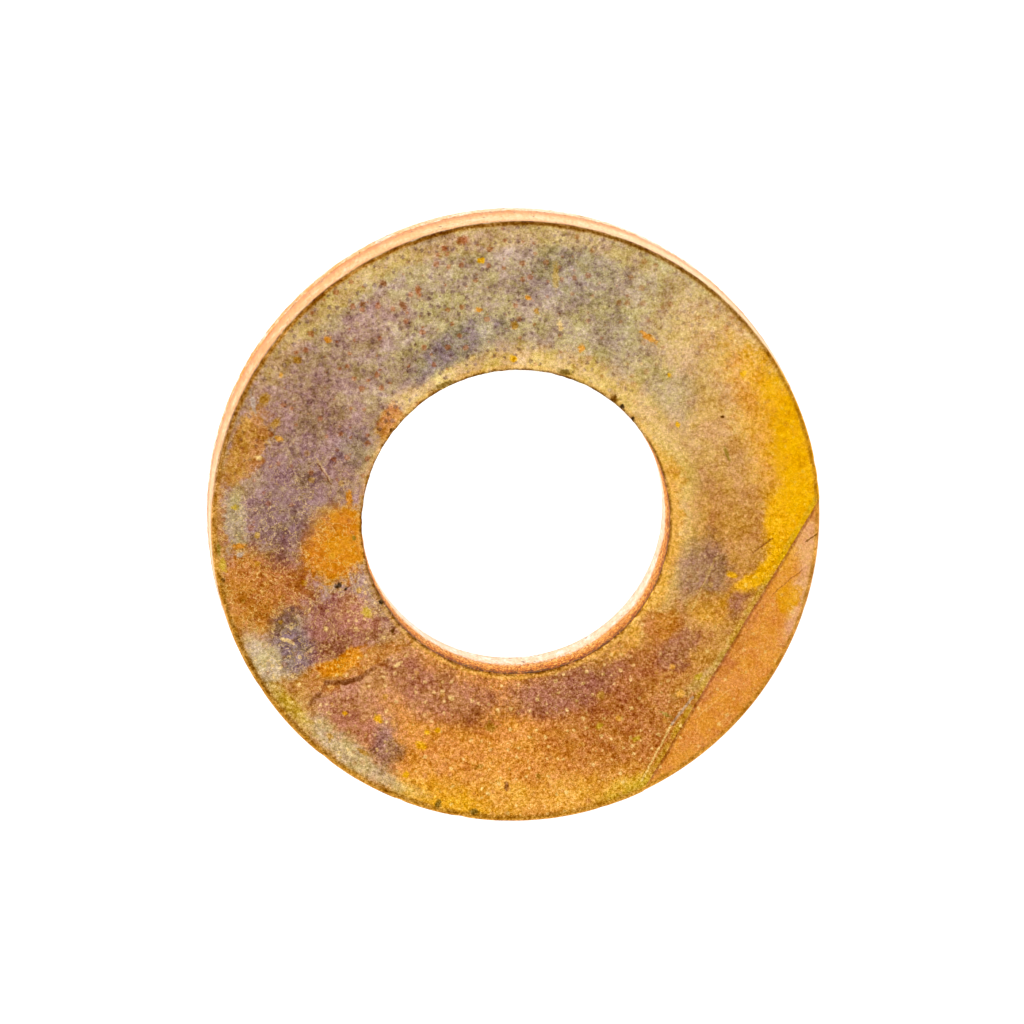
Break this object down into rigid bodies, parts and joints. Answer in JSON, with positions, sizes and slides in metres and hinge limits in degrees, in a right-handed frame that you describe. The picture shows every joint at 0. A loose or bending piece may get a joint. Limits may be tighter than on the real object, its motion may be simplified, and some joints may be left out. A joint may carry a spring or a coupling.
{
  "type": "flat washer",
  "caption": "Thick flat steel washer with a round central hole, punched from plate and finished in yellow passivated zinc.",
  "frame": {"origin": "centre of the hole on the underside, which is the plane that the washer rests on", "axes": "+Z along the axis of the hole, from the underside to the rolled top face; X and Y lie in the plane of the washer"},
  "size_m": [0.027, 0.027, 0.0037],
  "materials": {
    "yellow_zinc": "yellow passivated zinc plating, satin, stained and mottled"
  },
  "bodies": {
    "root": {"washer": "yellow_zinc"}
  },
  "joints": []
}
